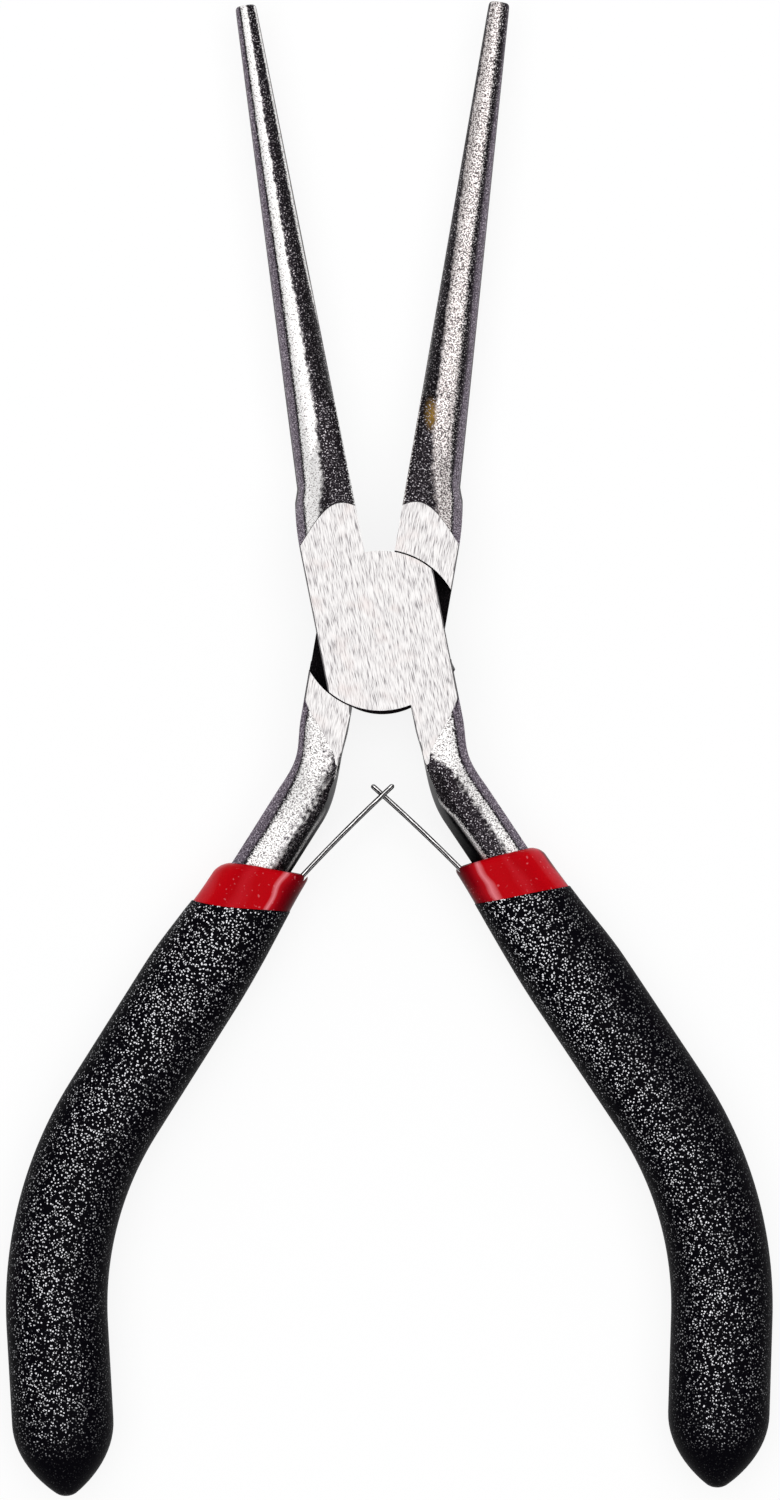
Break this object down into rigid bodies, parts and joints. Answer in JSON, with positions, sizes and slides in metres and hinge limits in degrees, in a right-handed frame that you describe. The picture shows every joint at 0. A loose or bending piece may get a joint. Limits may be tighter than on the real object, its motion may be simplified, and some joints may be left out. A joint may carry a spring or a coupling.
{
  "type": "round nose pliers",
  "caption": "Hand pliers with two tapering round jaws on a flat lap joint, crossed leaf springs that hold them open, and curved coated grips.",
  "frame": {"origin": "where the pivot axis meets the ground back face of the joint", "axes": "+Y from the pivot between the jaws towards their tips, +X to the right with the front face towards the viewer, +Z along the pivot axis out of the front face"},
  "size_m": [0.0742, 0.1441, 0.009],
  "materials": {
    "forged_steel": "forged steel, belt ground and brushed flats with satin jaws and shanks",
    "rivet_steel": "ground flush",
    "red_pvc": "glossy dipped PVC",
    "black_pvc": "pebbled dipped PVC",
    "spring_steel": "bright rolled strip"
  },
  "bodies": {
    "back_side": {"back_half": "forged_steel", "back_red_coat": "red_pvc", "back_black_coat": "black_pvc", "forked_leaf_spring": "spring_steel", "back_spring_rivet": "rivet_steel"},
    "front_side": {"front_half": "forged_steel", "pivot_rivet": "rivet_steel", "front_red_coat": "red_pvc", "front_black_coat": "black_pvc", "tongue_leaf_spring": "spring_steel", "front_spring_rivet": "rivet_steel"}
  },
  "joints": [
    {"name": "pivot", "type": "hinge", "parent": "back_side", "child": "front_side", "pos_m": [0, 0, 0], "axis": [0, 0, 1], "range_deg": [-21, 4], "stiffness_Nm_per_rad": 0.6, "deforming": ["tongue_leaf_spring", "forked_leaf_spring"]}
  ]
}
